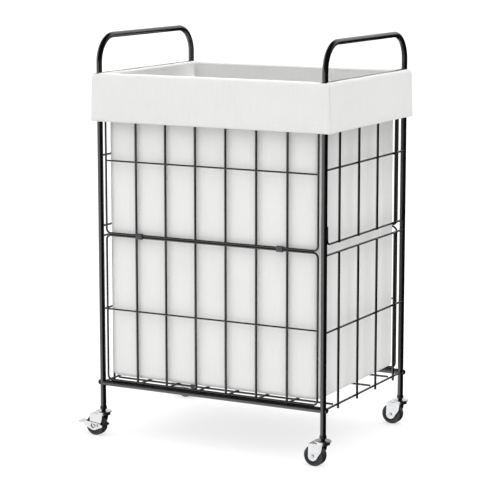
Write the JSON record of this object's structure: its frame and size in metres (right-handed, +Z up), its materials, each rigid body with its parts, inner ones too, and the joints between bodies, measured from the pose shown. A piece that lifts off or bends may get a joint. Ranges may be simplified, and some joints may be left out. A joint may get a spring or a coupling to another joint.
{
  "type": "rolling laundry hamper",
  "caption": "Rolling laundry hamper: black tube and wire frame with side handles, a lift-out off-white fabric liner with a fold-over cuff, swivel casters and toe brakes.",
  "frame": {"origin": "on the floor, in the middle of the four legs", "axes": "+Z up, -Y towards the front, +X to the right with the handles at the left and right ends"},
  "size_m": [0.4869, 0.343, 0.7],
  "materials": {
    "powder_coat": "black powder coat, satin, fine orange-peel texture",
    "black_bolts": "black oxide button-head bolts, satin",
    "clip_plastic": "black moulded plastic, slightly glossy",
    "insert_plastic": "black moulded plastic, matt",
    "zinc_plate": "bright zinc-plated pressed steel",
    "bare_steel": "plain plated steel",
    "wheel_plastic": "black moulded plastic",
    "tread": "dark grey thermoplastic rubber, matt",
    "bag_fabric": "off-white woven polyester, matt",
    "cuff_fabric": "off-white woven polyester, stiffened and hemmed"
  },
  "bodies": {
    "frame": {"left_handle_frame": "powder_coat", "left_lower_side_grid": "powder_coat", "left_upper_side_grid": "powder_coat", "left_rail_bolts": "black_bolts", "right_handle_frame": "powder_coat", "right_lower_side_grid": "powder_coat", "right_upper_side_grid": "powder_coat", "right_rail_bolts": "black_bolts", "front_bottom_rail": "powder_coat", "front_top_rail": "powder_coat", "front_lower_wire_panel": "powder_coat", "front_upper_wire_panel": "powder_coat", "front_panel_clips": "clip_plastic", "back_bottom_rail": "powder_coat", "back_top_rail": "powder_coat", "back_lower_wire_panel": "powder_coat", "back_upper_wire_panel": "powder_coat", "back_panel_clips": "clip_plastic", "rail_thread_inserts": "bare_steel", "bottom_wire_grid": "powder_coat", "front_left_lower_leg": "powder_coat", "front_left_leg_insert": "insert_plastic", "front_left_caster_stem": "zinc_plate", "front_right_lower_leg": "powder_coat", "front_right_leg_insert": "insert_plastic", "front_right_caster_stem": "zinc_plate", "back_left_lower_leg": "powder_coat", "back_left_leg_insert": "insert_plastic", "back_left_caster_stem": "zinc_plate", "back_right_lower_leg": "powder_coat", "back_right_leg_insert": "insert_plastic", "back_right_caster_stem": "zinc_plate", "swivel_bearing_balls": "bare_steel"},
    "front_left_caster": {"front_left_caster_fork": "zinc_plate", "front_left_axle": "bare_steel", "front_left_brake_pivots": "bare_steel"},
    "front_left_wheel": {"front_left_wheel_core": "wheel_plastic", "front_left_tyre": "tread"},
    "front_left_brake": {"front_left_brake_lever": "zinc_plate"},
    "front_right_caster": {"front_right_caster_fork": "zinc_plate", "front_right_axle": "bare_steel"},
    "front_right_wheel": {"front_right_wheel_core": "wheel_plastic", "front_right_tyre": "tread"},
    "back_left_caster": {"back_left_caster_fork": "zinc_plate", "back_left_axle": "bare_steel", "back_left_brake_pivots": "bare_steel"},
    "back_left_wheel": {"back_left_wheel_core": "wheel_plastic", "back_left_tyre": "tread"},
    "back_left_brake": {"back_left_brake_lever": "zinc_plate"},
    "back_right_caster": {"back_right_caster_fork": "zinc_plate", "back_right_axle": "bare_steel"},
    "back_right_wheel": {"back_right_wheel_core": "wheel_plastic", "back_right_tyre": "tread"},
    "liner": {"liner_bag": "bag_fabric", "liner_cuff": "cuff_fabric"}
  },
  "joints": [
    {"name": "front_left_swivel", "type": "hinge", "parent": "frame", "child": "front_left_caster", "pos_m": [-0.2125, -0.1575, 0.0417], "axis": [0, 0, 1], "continuous": true},
    {"name": "front_left_wheel_spin", "type": "hinge", "parent": "front_left_caster", "child": "front_left_wheel", "pos_m": [-0.2265, -0.1575, 0.018], "axis": [0, 1, 0], "continuous": true},
    {"name": "front_left_brake_press", "type": "hinge", "parent": "front_left_caster", "child": "front_left_brake", "pos_m": [-0.219, -0.1575, 0.0188], "axis": [0, -1, 0], "range_deg": [0, 12]},
    {"name": "front_right_swivel", "type": "hinge", "parent": "frame", "child": "front_right_caster", "pos_m": [0.2125, -0.1575, 0.0417], "axis": [0, 0, 1], "continuous": true},
    {"name": "front_right_wheel_spin", "type": "hinge", "parent": "front_right_caster", "child": "front_right_wheel", "pos_m": [0.1985, -0.1575, 0.018], "axis": [0, 1, 0], "continuous": true},
    {"name": "back_left_swivel", "type": "hinge", "parent": "frame", "child": "back_left_caster", "pos_m": [-0.2125, 0.1575, 0.0417], "axis": [0, 0, 1], "continuous": true},
    {"name": "back_left_wheel_spin", "type": "hinge", "parent": "back_left_caster", "child": "back_left_wheel", "pos_m": [-0.2265, 0.1575, 0.018], "axis": [0, 1, 0], "continuous": true},
    {"name": "back_left_brake_press", "type": "hinge", "parent": "back_left_caster", "child": "back_left_brake", "pos_m": [-0.219, 0.1575, 0.0188], "axis": [0, -1, 0], "range_deg": [0, 12]},
    {"name": "back_right_swivel", "type": "hinge", "parent": "frame", "child": "back_right_caster", "pos_m": [0.2125, 0.1575, 0.0417], "axis": [0, 0, 1], "continuous": true},
    {"name": "back_right_wheel_spin", "type": "hinge", "parent": "back_right_caster", "child": "back_right_wheel", "pos_m": [0.1985, 0.1575, 0.018], "axis": [0, 1, 0], "continuous": true},
    {"name": "liner_lift", "type": "slide", "parent": "frame", "child": "liner", "axis": [0, 0, 1], "range_m": [0, 0.62]}
  ]
}
